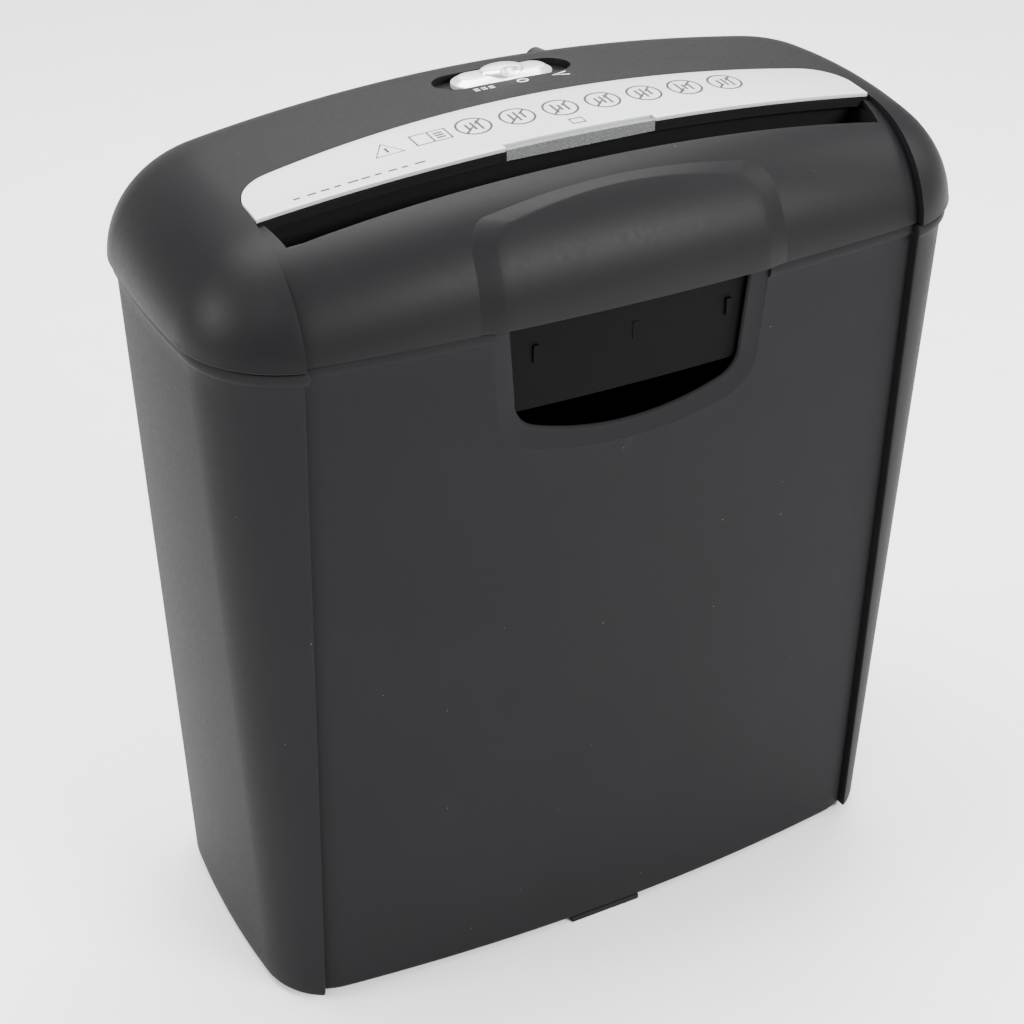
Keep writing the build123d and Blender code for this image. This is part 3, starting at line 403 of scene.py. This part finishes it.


# edge= sets the strength of the painted edge highlight.
SLOTS = {
    "casing_black": material("satin_black_plastic", (0.0062, 0.0062, 0.0068), 0.46, grain=0.3, bump=0.16,
                             specks=True, edge=0.35, gloss=1.0, ior=1.13),
    # Inner parts' own black plastic, made darker than the casing as painted shade for the dimness inside the
    # head and behind the cut-out.
    "inner_black": material("inner_black_plastic_and_painted_shade", (0.002, 0.002, 0.0021), 0.55, grain=0.4, bump=0.2,
                            gloss=0.04),
    "panel_silver": material("brushed_silver", (0.52, 0.525, 0.545), 0.42, metallic=0.3, grain=0.5,
                             spread=0.03, bump=0.05, aniso=0.4, stretch=(0.08, 1.0, 1.0)),
    "knob_silver": material("silver_paint", (0.70, 0.71, 0.74), 0.24, metallic=0.55, grain=0.12,
                            spread=0.04, bump=0.03, coat=0.5),
    "strip_grey": material("textured_grey", (0.11, 0.115, 0.115), 0.5, grain=0.5, spread=0.5, bump=0.7),
    "rubber_black": material("black_rubber", (0.012, 0.012, 0.0125), 0.6, grain=0.5, bump=0.3, sheen=0.03,
                             gloss=0.2),
    "frame_steel": material("zinc_plated_steel", (0.52, 0.53, 0.56), 0.34, metallic=1.0, grain=1.4,
                            spread=0.12, bump=0.05),
    "cutter_steel": material("oiled_cutter_steel", (0.36, 0.36, 0.38), 0.28, metallic=1.0, grain=0.8,
                             spread=0.2, bump=0.12, edge=0.3, stretch=(1.0, 0.2, 0.2)),
    "bush_bronze": material("sintered_bronze", (0.46, 0.30, 0.14), 0.4, metallic=1.0, grain=0.3,
                            spread=0.25, bump=0.25),
    "gear_nylon": material("natural_nylon", (0.70, 0.67, 0.58), 0.4, grain=0.6, spread=0.06, bump=0.08),
    "gear_steel": material("sintered_steel", (0.26, 0.26, 0.27), 0.42, metallic=0.9, grain=0.25,
                           spread=0.3, bump=0.3),
    "guide_plastic": material("matt_guide_plastic", (0.006, 0.006, 0.0062), 0.48, grain=0.5, bump=0.2,
                              gloss=0.2),
    "motor_steel": material("plated_motor_can", (0.40, 0.40, 0.42), 0.32, metallic=1.0, grain=0.9,
                            spread=0.12, bump=0.06),
    "magnet_dark": material("ferrite", (0.05, 0.05, 0.055), 0.55, grain=0.4, spread=0.25, bump=0.3),
    "copper": material("copper", (0.62, 0.30, 0.16), 0.3, metallic=1.0, grain=0.6, spread=0.2, bump=0.08),
    "board_green": material("solder_mask", (0.02, 0.13, 0.05), 0.32, grain=1.2, spread=0.25, bump=0.08,
                            coat=0.4),
    "part_black": material("component_black", (0.03, 0.03, 0.032), 0.45, grain=0.3, spread=0.2, bump=0.15),
    "part_blue": material("sleeve_blue", (0.03, 0.09, 0.26), 0.3, grain=0.8, spread=0.15, bump=0.08,
                          coat=0.3),
    "lead_red": material("wire_insulation", (0.42, 0.03, 0.02), 0.38, grain=0.7, spread=0.12, bump=0.1),
    "screw_zinc": material("zinc_screw", (0.60, 0.60, 0.62), 0.3, metallic=1.0, grain=0.4, spread=0.15,
                           bump=0.1),
}
BIN_BLACK = material("matt_bin_plastic", (0.0115, 0.0115, 0.0123), 0.5, grain=0.3, bump=0.16, specks=True,
                     edge=0.2, gloss=0.32, ior=1.13)
INK = material("panel_ink", (0.008, 0.008, 0.009), 0.55, grain=0.4, spread=0.15, bump=0.05)
WHITE_INK = material("white_ink", (0.72, 0.72, 0.71), 0.5, grain=0.3, spread=0.06, bump=0.1)


def finish_piece(obj, body, slot, stands_for=(), mat=None):
    obj.data.materials.clear()
    obj.data.materials.append(mat or SLOTS[slot])
    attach(obj, body)
    if stands_for:
        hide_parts(*stands_for)
    return obj


# ---------------------------------------------------------------- head cover

def step_prism():
    """The space in front of the slot's rear edge, between the two step lines."""
    space = rectangle((-STEP_HALF_TOP, STEP_HALF_TOP), (-100.0, SLOT_BACK_Y))
    return prism("ahead", space, "Z", HEAD_LOW_Z - 3.0, HIGH_Z + 1.0)


def head_cover():
    coarse = (20, 10, 8)
    shell = dome("head_cover_visual", 0.0, HEAD_LOW_Z)
    set_back = dome("set_back", 0.0, HEAD_LOW_Z - 6.0, shift=(HEAD_STEP, HEAD_DROP))
    combine(shell, combine(step_prism(), set_back, "DIFFERENCE"), "DIFFERENCE")
    cavity = dome("cavity", WALL, HEAD_LOW_Z - 2.0, counts=coarse, turns=10)
    behind = dome("cavity_behind", WALL, HEAD_LOW_Z - 8.0, shift=(HEAD_STEP, HEAD_DROP), counts=coarse,
                  turns=10)
    combine(cavity, behind, "INTERSECT")
    outside = oval(RECESS_L + 2 * RECESS_WALL, RECESS_W + 2 * RECESS_WALL)
    boss = prism("boss", outside, "Z", RECESS_Z - 2.2, HIGH_Z)
    combine(cavity, boss, "DIFFERENCE")
    combine(shell, cavity, "DIFFERENCE")
    slot_plan = [(-SLOT_HALF_BACK, SLOT_BACK_Y), (SLOT_HALF_BACK, SLOT_BACK_Y),
                 (SLOT_HALF_FRONT, SLOT_FRONT_Y), (-SLOT_HALF_FRONT, SLOT_FRONT_Y)]
    combine(shell, prism("slot", slot_plan, "Z", HEAD_LOW_Z - 8.0, HIGH_Z), "DIFFERENCE")
    pocket = field("pocket", panel_columns(0.25), lambda x: SLOT_BACK_Y - 1.0, panel_back(0.25),
                   lambda x, y: HIGH_Z, lambda x, y: crown_z(x, y) - PANEL_DEEP - 0.05)
    combine(shell, pocket, "DIFFERENCE")
    combine(shell, prism("recess", oval(RECESS_L, RECESS_W), "Z", RECESS_Z, HIGH_Z), "DIFFERENCE")
    notch = rectangle((-NOTCH_HALF, NOTCH_HALF), (SLOT_BACK_Y - 1.0, SLOT_BACK_Y + NOTCH_DEEP))
    combine(shell, prism("notch", notch, "Z", NOTCH_LOW_Z, HIGH_Z), "DIFFERENCE")
    combine(shell, prism("stem_slot", around_switch(STEM_SLOT_HALF), "Z", 300.0, 320.0), "DIFFERENCE")
    gland = [(GLAND_X + GLAND_HOLE_R * cos(t), GLAND_Z + GLAND_HOLE_R * sin(t))
             for t in steps(0, 2 * pi, 48)[:-1]]
    combine(shell, prism("gland_hole", gland, "Y", 50.0, 90.0), "DIFFERENCE")
    soften(shell, 32.0)
    return finish_piece(shell, "head", "casing_black", ["head_cover"])


def front_surface(x, z):
    """The y of the set-back front section at x and z."""
    z += HEAD_DROP
    y = -HEAD_HALF_D
    for _ in range(6):
        drop = max(0.0, min(crown_z(x, y) - z, SHOULDER_R))
        inset = SHOULDER_R - sqrt(SHOULDER_R ** 2 - (SHOULDER_R - drop) ** 2)
        half_w, half_d = HEAD_HALF_W - inset, HEAD_HALF_D - inset
        radius = arc_radius(half_w - SIDE_SAG, FRONT_SAG)
        y = -half_d + radius - sqrt(radius ** 2 - x * x)
    return y + HEAD_STEP


def grip_pad():
    """The raised pad on the head's front, with a wide sloping border that fades out downwards."""
    def rim(half_low, half_top, top_z, corner, arch):
        """Up the right side, round the corner and over the arched top, then down the left side."""
        right = [(half_low + (half_top - half_low) * s, HEAD_LOW_Z + (top_z - corner - HEAD_LOW_Z) * s)
                 for s in steps(0.0, 1.0, 14)]
        for t in steps(0.0, pi / 2, 12)[1:]:
            right.append((half_top - corner + corner * cos(t), top_z - corner + corner * sin(t)))
        x_end = half_top - corner
        for s in steps(0.0, 1.0, 18)[1:]:
            x = x_end * (1 - s)
            right.append((x, top_z + arch * (1 - (x / x_end) ** 2)))
        return right + [(-x, z) for x, z in reversed(right[:-1])]

    outer = rim(56.5, 55.5, 302.0, 9.5, 3.4)
    inner = rim(48.5, 47.5, 299.6, 8.5, 3.6)
    count = len(outer)
    rows = []
    slope_up = ((-0.06, -0.35), (0.0, 0.05), (0.12, 0.22), (0.5, 0.75), (0.88, 1.28), (1.0, PAD_PROUD))
    for share, height in slope_up:
        rows.append([(a[0] + (b[0] - a[0]) * share, a[1] + (b[1] - a[1]) * share, height)
                     for a, b in zip(outer, inner)])
    for share in steps(0.0, 1.0, 16)[1:]:
        rows.append([(x * (1 - share), z, PAD_PROUD) for x, z in inner])
    verts, faces = [], []
    for row in rows:
        for x, z, height in row:
            z = max(z, HEAD_LOW_Z + 0.15)
            y = front_surface(x, z)
            below = 0.5 if z > HEAD_LOW_Z + 1.0 else 0.0
            slope = (front_surface(x, z + 0.5) - front_surface(x, z - below)) / (0.5 + below)
            size = hypot(1.0, slope)
            verts.append((x, y - height / size, z + height * slope / size))
    for k in range(len(rows) - 1):
        for i in range(count - 1):
            a, b = k * count + i, (k + 1) * count + i
            faces.append((a, a + 1, b + 1, b))
    pad = make("grip_pad", verts, faces, 14.0)
    modify(pad, "SOLIDIFY", thickness=PAD_WALL * MM, offset=-1.0)
    soften(pad, 14.0)
    return finish_piece(pad, "head", "casing_black")


# ---------------------------------------------------------------- silver panel, switch and marks

def control_panel():
    panel = field("control_panel_visual", panel_columns(0.0), lambda x: SLOT_BACK_Y + 0.2, panel_back(0.0),
                  lambda x, y: crown_z(x, y) + PANEL_PROUD, lambda x, y: crown_z(x, y) - PANEL_DEEP)
    notch = rectangle((-NOTCH_HALF, NOTCH_HALF), (SLOT_BACK_Y - 2.0, SLOT_BACK_Y + 0.2 + NOTCH_DEEP))
    combine(panel, prism("panel_notch", notch, "Z", 300.0, HIGH_Z), "DIFFERENCE")
    round_edges(panel, 0.28, segments=3, angle=50.0)
    return finish_piece(panel, "head", "panel_silver", ["control_panel"])


def switch_knob():
    """Oblong slider: a low chamfered body, and an oval dome in the middle with a scoop cut into its front."""
    def level(shrink_l, shrink_w, z):
        return [(x, y, z) for x, y in oval(KNOB_L - shrink_l, KNOB_W - shrink_w, 24)]

    rings = [level(0.6, 0.6, KNOB_LOW_Z), level(0.0, 0.0, KNOB_LOW_Z + 0.4), level(0.0, 0.0, 311.2),
             level(0.4, 0.3, 311.5), level(5.4, 4.8, 313.0), level(6.2, 5.4, 313.15), level(12.0, 8.0, 313.3),
             level(27.0, 11.4, 313.35)]
    body = make("switch_knob_visual", *stack(rings), 25.0)
    turns = steps(0.0, 2 * pi, 64)[:-1]
    profile = [(1.0, 310.4), (1.0, 313.5), (0.97, 313.95), (0.90, 314.3), (0.76, 314.65), (0.55, 314.9),
               (0.30, 315.05), (0.08, 315.1)]
    half_l, half_w = KNOB_DOME_HALF
    crest = make("knob_dome", *stack([[(SWITCH_X + half_l * r * cos(t), SWITCH_Y + half_w * r * sin(t), z)
                                       for t in turns] for r, z in profile]))
    combine(body, crest, "UNION")
    scoop_profile = [(0.3, -2.0), (2.4, -1.8), (4.0, -1.1), (5.0, 0.0), (5.4, 2.5)]
    scoop = [[(SWITCH_X + 1.8 + r * cos(t), SWITCH_Y - 5.4 + 0.66 * r * sin(t), 314.5 + z) for t in turns]
             for r, z in scoop_profile]
    combine(body, make("scoop", *stack(scoop)), "DIFFERENCE")
    combine(body, prism("stem", around_switch(STEM_HALF), "Z", 301.5, 310.0), "UNION")
    soften(body, 20.0)
    return finish_piece(body, "mode_switch", "knob_silver", ["switch_knob"])


def strokes(name, lines, width, lift, mat, slot):
    """Printed marks: flat strips along polylines on the crown. Each line is a list of (x, y)."""
    ink, sink = 0.035, 0.01
    verts, faces = [], []
    for line in lines:
        closed = line[0] == line[-1]
        points = line[:-1] if closed else line
        count = len(points)
        base = len(verts)
        for i, (x, y) in enumerate(points):
            before = points[i - 1] if closed or i else points[i]
            after = points[(i + 1) % count] if closed or i < count - 1 else points[i]
            dx, dy = after[0] - before[0], after[1] - before[1]
            size = hypot(dx, dy) or 1.0
            nx, ny = -dy / size * width / 2, dx / size * width / 2
            for sx, sy, up in ((nx, ny, 0.0), (nx, ny, ink), (-nx, -ny, ink), (-nx, -ny, 0.0)):
                verts.append((x + sx, y + sy, crown_z(x + sx, y + sy) + lift - sink + up))
        for i in range(count if closed else count - 1):
            a, b = base + 4 * i, base + 4 * ((i + 1) % count)
            for k in range(4):
                m = (k + 1) % 4
                faces.append((a + k, a + m, b + m, b + k))
        if not closed:
            faces.append((base, base + 1, base + 2, base + 3))
            end = base + 4 * (count - 1)
            faces.append((end + 3, end + 2, end + 1, end))
    obj = make(name, verts, faces, 30.0)
    return finish_piece(obj, "head", slot, mat=mat)


def ring_line(x, y, rx, ry, count=40):
    points = [(x + rx * cos(t), y + ry * sin(t)) for t in steps(0.0, 2 * pi, count)[:-1]]
    return points + points[:1]


def box_line(x, y, w, h):
    return [(x, y), (x + w, y), (x + w, y + h), (x, y + h), (x, y)]


def panel_marks():
    """Generic marks in place of the printed wording and pictograms."""
    rings, glyphs = [], []
    ring_r, bar = 5.9, 4.1
    for k in range(7):
        x, y = -29.8 + 16.0 * k, -9.6
        rings.append(ring_line(x, y, ring_r, ring_r))
        rings.append([(x - bar, y - bar), (x + bar, y + bar)])
        for i in range(3):
            reach = 2.1 + 0.7 * ((k + i) % 3)
            glyphs.append([(x - 2.2 + 2.2 * i, y - reach), (x - 2.2 + 2.2 * i, y + reach)])
    triangle = [(-66.5, -14.4), (-56.5, -14.4), (-61.5, -6.4), (-66.5, -14.4)]
    rings.append(triangle)
    glyphs.append([(-61.5, -12.9), (-61.5, -9.6)])
    rings += [box_line(-51.5, -13.6, 6.2, 7.2), box_line(-45.3, -13.6, 6.2, 7.2)]
    glyphs += [[(-43.8, -11.6 + 1.6 * i), (-40.6, -11.6 + 1.6 * i)] for i in range(3)]
    rings.append(box_line(0.2, -22.3, 4.6, 3.4))
    strokes("panel_rings", rings, 0.85, PANEL_PROUD, INK, "panel_silver")
    strokes("panel_glyphs", glyphs, 0.95, PANEL_PROUD, INK, "panel_silver")
    dashes = []
    for k, length in enumerate((2.2, 3.0, 3.0, 2.2, 3.6, 3.0, 2.2, 3.0, 2.2, 3.6)):
        x = -99.0 + 4.6 * k
        y = -24.2 + 0.02 * k
        dashes.append([(x, y), (x + length, y)])
    strokes("panel_dashes", dashes, 0.9, PANEL_PROUD, INK, "panel_silver")
    places = [[(-15.6 + 2.8 * i, 17.0), (-13.8 + 2.8 * i, 17.0)] for i in range(3)]
    places += [[(-15.6 + 2.8 * i, 18.4), (-13.8 + 2.8 * i, 18.4)] for i in range(3)]
    places.append(ring_line(3.0, 18.2, 1.9, 1.3, 24))
    places.append([(20.4, 16.6), (14.6, 18.2), (20.4, 19.8)])
    strokes("switch_marks", places, 0.5, 0.0, WHITE_INK, "casing_black")


# ---------------------------------------------------------------- bin

def bin_ring(z, grow):
    """The bin's outline at z, grown by grow, with its front set back between the step lines."""
    share = z / BIN_TOP_Z
    half_w, half_d = [a + (b - a) * share + grow for a, b in zip(BIN_LOW_HALF, BIN_TOP_HALF)]
    line = STEP_HALF_LOW + (STEP_HALF_TOP - STEP_HALF_LOW) * share - grow
    panel = [(x, front_y(half_w, half_d, x) + PANEL_STEP) for x in steps(0.0, line, 46)]
    edge = quarter(half_w, half_d, start_x=line + 0.9, counts=(1, 26, 20))
    top = panel[-1][1] - PANEL_STEP
    riser = [(line, top + PANEL_STEP * 0.5), (line, top + 0.95), (line + 0.12, top + 0.5),
             (line + 0.42, top + 0.22)]
    back = quarter(half_w, half_d, counts=(40, 20, 20))
    return [(x, y, z) for x, y in mirror_loop(panel + riser + edge, back)]


def cut_outline(grow):
    """The hand cut-out as (x, z), grown by grow: open top, leaning sides, round corners, arched sole."""
    high = 280.0
    left, low = -CUT_HALF_LOW - grow, CUT_SIDE_LOW_Z - grow
    sole_r = arc_radius(CUT_HALF_LOW + grow, CUT_SIDE_LOW_Z - CUT_LOW_Z)
    sole_c = (0.0, CUT_LOW_Z - grow + sole_r)
    radius = CUT_CORNER_R + grow
    lean = atan2(CUT_HALF_TOP - CUT_HALF_LOW, high - CUT_SIDE_LOW_Z + grow)
    reach = sole_r - radius
    best = None
    tries = 400                # places of the corner's centre, of which the one closest to both edges is kept
    for k in range(tries):
        t = -pi / 2 - 0.9 * k / tries
        cx, cz = sole_c[0] + reach * cos(t), sole_c[1] + reach * sin(t)
        side_x = left - (cz - low) * sin(lean) / cos(lean)
        miss = abs((cx - side_x) * cos(lean) - radius)
        if best is None or miss < best[0]:
            best = (miss, t, cx, cz)
    _, t_sole, cx, cz = best
    points = [(left - (high - low) * sin(lean) / cos(lean), high)]
    points += [(cx + radius * cos(t), cz + radius * sin(t)) for t in steps(-pi - lean, t_sole, 16)]
    points += [(sole_c[0] + sole_r * cos(t), sole_c[1] + sole_r * sin(t))
               for t in steps(t_sole, -pi / 2, 24)[1:]]
    return points + [(-x, z) for x, z in reversed(points[:-1])]


def bin_face(x, z):
    """The y of the bin's set-back front."""
    half_w, half_d = [a + (b - a) * z / BIN_TOP_Z for a, b in zip(BIN_LOW_HALF, BIN_TOP_HALF)]
    radius = arc_radius(half_w - SIDE_SAG, FRONT_SAG)
    return -half_d + radius - sqrt(radius ** 2 - x * x) + PANEL_STEP


def bin_shell():
    """The bin from its lower edge up over the rim bead and down inside, as rows of height and growth."""
    rows = [(FOOT_H, -2.2), (2.15, -1.3), (2.6, -0.6), (3.4, -0.15), (4.6, 0.0)]
    rows += [(z, 0.0) for z in steps(12.0, 258.0, 24)]
    rows += [(264.4, 0.0), (264.9, 0.12), (265.1, 0.5), (265.4, 0.9), (266.0, 1.15), (267.0, RIM_PROUD)]
    rows += [(268.4, 1.15), (269.1, 0.85), (269.45, 0.4), (BIN_TOP_Z, -0.2), (BIN_TOP_Z, -2.0)]
    rows += [(269.3, -WALL)] + [(z, -WALL) for z in steps(262.0, 8.0, 8)] + [(5.4, -3.2), (5.0, -4.5)]
    shell = make("bin_shell_visual", *stack([bin_ring(z, grow) for z, grow in rows]))
    levels = [(BEZEL, -4.0), (BEZEL, 0.02), (BEZEL * 0.86, 0.25), (0.5, BEZEL_DEEP)]
    levels += [(0.0, BEZEL_DEEP + 0.6), (0.0, 20.0)]
    rings = []
    for grow, depth in levels:
        rings.append([(x, bin_face(x, min(z, BIN_TOP_Z)) + depth, z) for x, z in cut_outline(grow)])
    combine(shell, make("cut_out", *stack(rings)), "DIFFERENCE")
    soften(shell, 30.0)
    return finish_piece(shell, "bin", "casing_black", ["bin_shell"], BIN_BLACK)


def bin_details():
    rail_y = BIN_LOW_HALF[1] - PANEL_STEP
    rail = prism("bin_rail", rectangle((-RAIL_HALF, RAIL_HALF), (-rail_y, rail_y)), "Z", 0.0, FOOT_H + 0.5)
    round_edges(rail, 0.5)
    finish_piece(rail, "bin", "casing_black", mat=BIN_BLACK)
    tab = [(-138.3, 190.0), (-136.0, 190.0), (-123.0, 220.0), (-123.0, 232.0), (-139.0, 232.0)]
    rib = prism("interlock_rib", tab, "Y", PLUNGER_Y - RIB_HALF, PLUNGER_Y + RIB_HALF)
    round_edges(rib, 0.3)
    finish_piece(rib, "bin", "casing_black", mat=BIN_BLACK)


# ---------------------------------------------------------------- scene

def area_light(name, place, aim, size, power):
    data = bpy.data.lights.new(name, "AREA")
    data.shape = "RECTANGLE"
    data.size, data.size_y = size
    data.energy = power
    obj = bpy.data.objects.new(name, data)
    bpy.context.scene.collection.objects.link(obj)
    place, aim = Vector(place), Vector(aim)
    turn = (aim - place).to_track_quat("-Z", "Y").to_matrix().to_4x4()
    obj.matrix_world = Matrix.Translation(place) @ turn


def studio():
    """A pale floor in metres that curves up far behind the object, a white world and six soft lights."""
    lip, reach, bend = 2.2, 7.0, 1.5
    path = [(-reach, 0.0), (lip, 0.0)]
    path += [(lip + bend * sin(t), bend - bend * cos(t)) for t in steps(0.0, pi / 2, 16)[1:]]
    path.append((lip + bend, reach))
    verts = [(x / MM, y / MM, z / MM) for x in (-reach, reach) for y, z in path]
    count = len(path)
    faces = [(i, i + 1, count + i + 1, count + i) for i in range(count - 1)]
    floor = make("floor", verts, faces)
    white = material("studio_white", (0.93, 0.93, 0.93), 0.6, grain=3.0, spread=0.01, bump=0.02)
    floor.data.materials.append(white)
    world = bpy.data.worlds.new("studio")
    world.use_nodes = True
    sky = world.node_tree.nodes["Background"]
    sky.inputs["Color"].default_value = (1.0, 1.0, 1.0, 1.0)
    sky.inputs["Strength"].default_value = 0.42
    bpy.context.scene.world = world
    area_light("overhead", (0.0, 0.35, 1.5), (0.0, 0.0, 0.2), (1.5, 0.7), 62.0)
    area_light("front_left", (-1.1, -0.9, 1.5), (0.0, 0.0, 0.1), (0.7, 0.7), 12.0)
    area_light("front_right", (0.7, -1.45, 1.05), (0.0, 0.0, 0.28), (1.0, 0.35), 62.0)
    area_light("left", (-1.6, 0.2, 0.85), (0.0, 0.0, 0.28), (0.5, 0.4), 30.0)
    area_light("back", (0.8, 1.6, 1.5), (0.0, 0.0, 0.28), (1.5, 0.7), 16.0)
    area_light("right", (1.5, -0.2, 1.2), (0.0, 0.0, 0.1), (0.5, 1.0), 16.0)


def camera():
    """The photograph's standpoint, in front of the object to its left and above it."""
    place = Vector((-310.2, -566.4, 569.1))
    yaw, pitch, roll = radians(26.9), radians(33.08), radians(-0.08)
    data = bpy.data.cameras.new("camera")
    data.sensor_width = 36.0
    data.lens = 2.00195 * data.sensor_width
    data.shift_x, data.shift_y = 0.0316, 0.0020
    obj = bpy.data.objects.new("camera", data)
    ahead = Vector((sin(yaw) * cos(pitch), cos(yaw) * cos(pitch), -sin(pitch)))
    right = Vector((cos(yaw), -sin(yaw), 0.0))
    up = right.cross(ahead)
    turn = Matrix((right, up, -ahead)).transposed().to_4x4() @ Matrix.Rotation(roll, 4, "Z")
    obj.matrix_world = Matrix.Translation(place * MM) @ turn
    bpy.context.scene.collection.objects.link(obj)
    bpy.context.scene.camera = obj


slot_of = {row["node"]: row["material_slot"] for row in frame["record"]["subparts"]}
for name, node in frame["nodes"].items():
    node.data.materials.clear()
    node.data.materials.append(SLOTS[slot_of[name]])
    node.data.set_sharp_from_angle(angle=radians(30.0))
head_cover()
grip_pad()
control_panel()
switch_knob()
panel_marks()
bin_shell()
bin_details()
studio()
camera()
